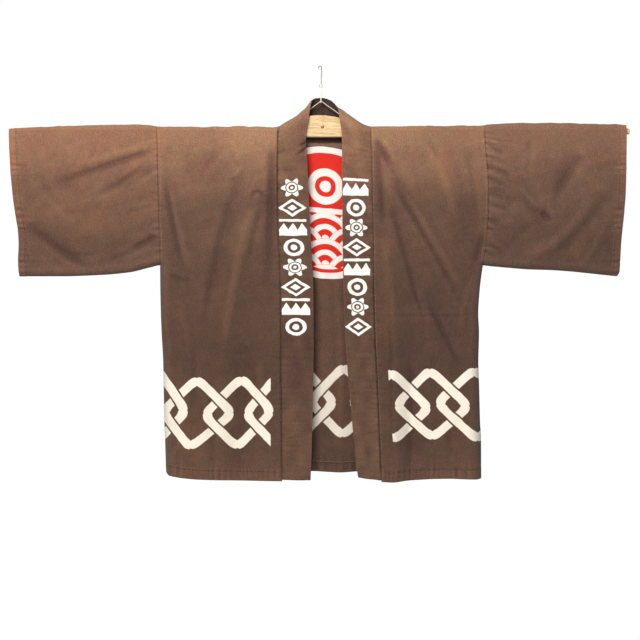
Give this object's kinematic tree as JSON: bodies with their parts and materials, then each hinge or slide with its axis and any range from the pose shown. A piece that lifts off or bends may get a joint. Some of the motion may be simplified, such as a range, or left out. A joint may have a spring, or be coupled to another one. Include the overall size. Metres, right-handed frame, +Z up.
{
  "type": "happi coat on a wooden hanger",
  "caption": "Open-fronted cotton happi coat with straight sleeves and a banded collar, hung flat on a wooden rod hanger by a cord and a wire hook.",
  "frame": {"origin": "the point under the wire hook's top curl where a nail or peg bears", "axes": "+Z up, +X along the sleeves towards the coat's right-hand sleeve as seen from the front, -Y out of the coat's front"},
  "size_m": [1.2967, 0.0634, 0.8695],
  "materials": {
    "cotton_body": "faded brown plain-weave cotton with a resist-dyed cream chain band",
    "cotton_sleeve": "faded brown plain-weave cotton",
    "cotton_collar": "faded brown plain-weave cotton, folded double, with white printed motifs",
    "board_wood": "pale bare wood",
    "rod_wood": "turned wooden rod",
    "cord": "cream twisted cord",
    "steel": "dulled steel wire"
  },
  "bodies": {
    "root": {"body": "cotton_body", "sleeve_left": "cotton_sleeve", "sleeve_right": "cotton_sleeve", "collar": "cotton_collar", "hanger_board": "board_wood", "hanger_rod": "rod_wood", "hanger_screw": "steel", "hanger_cord": "cord", "hanger_loop": "cord", "hanger_hook": "steel"}
  },
  "joints": []
}
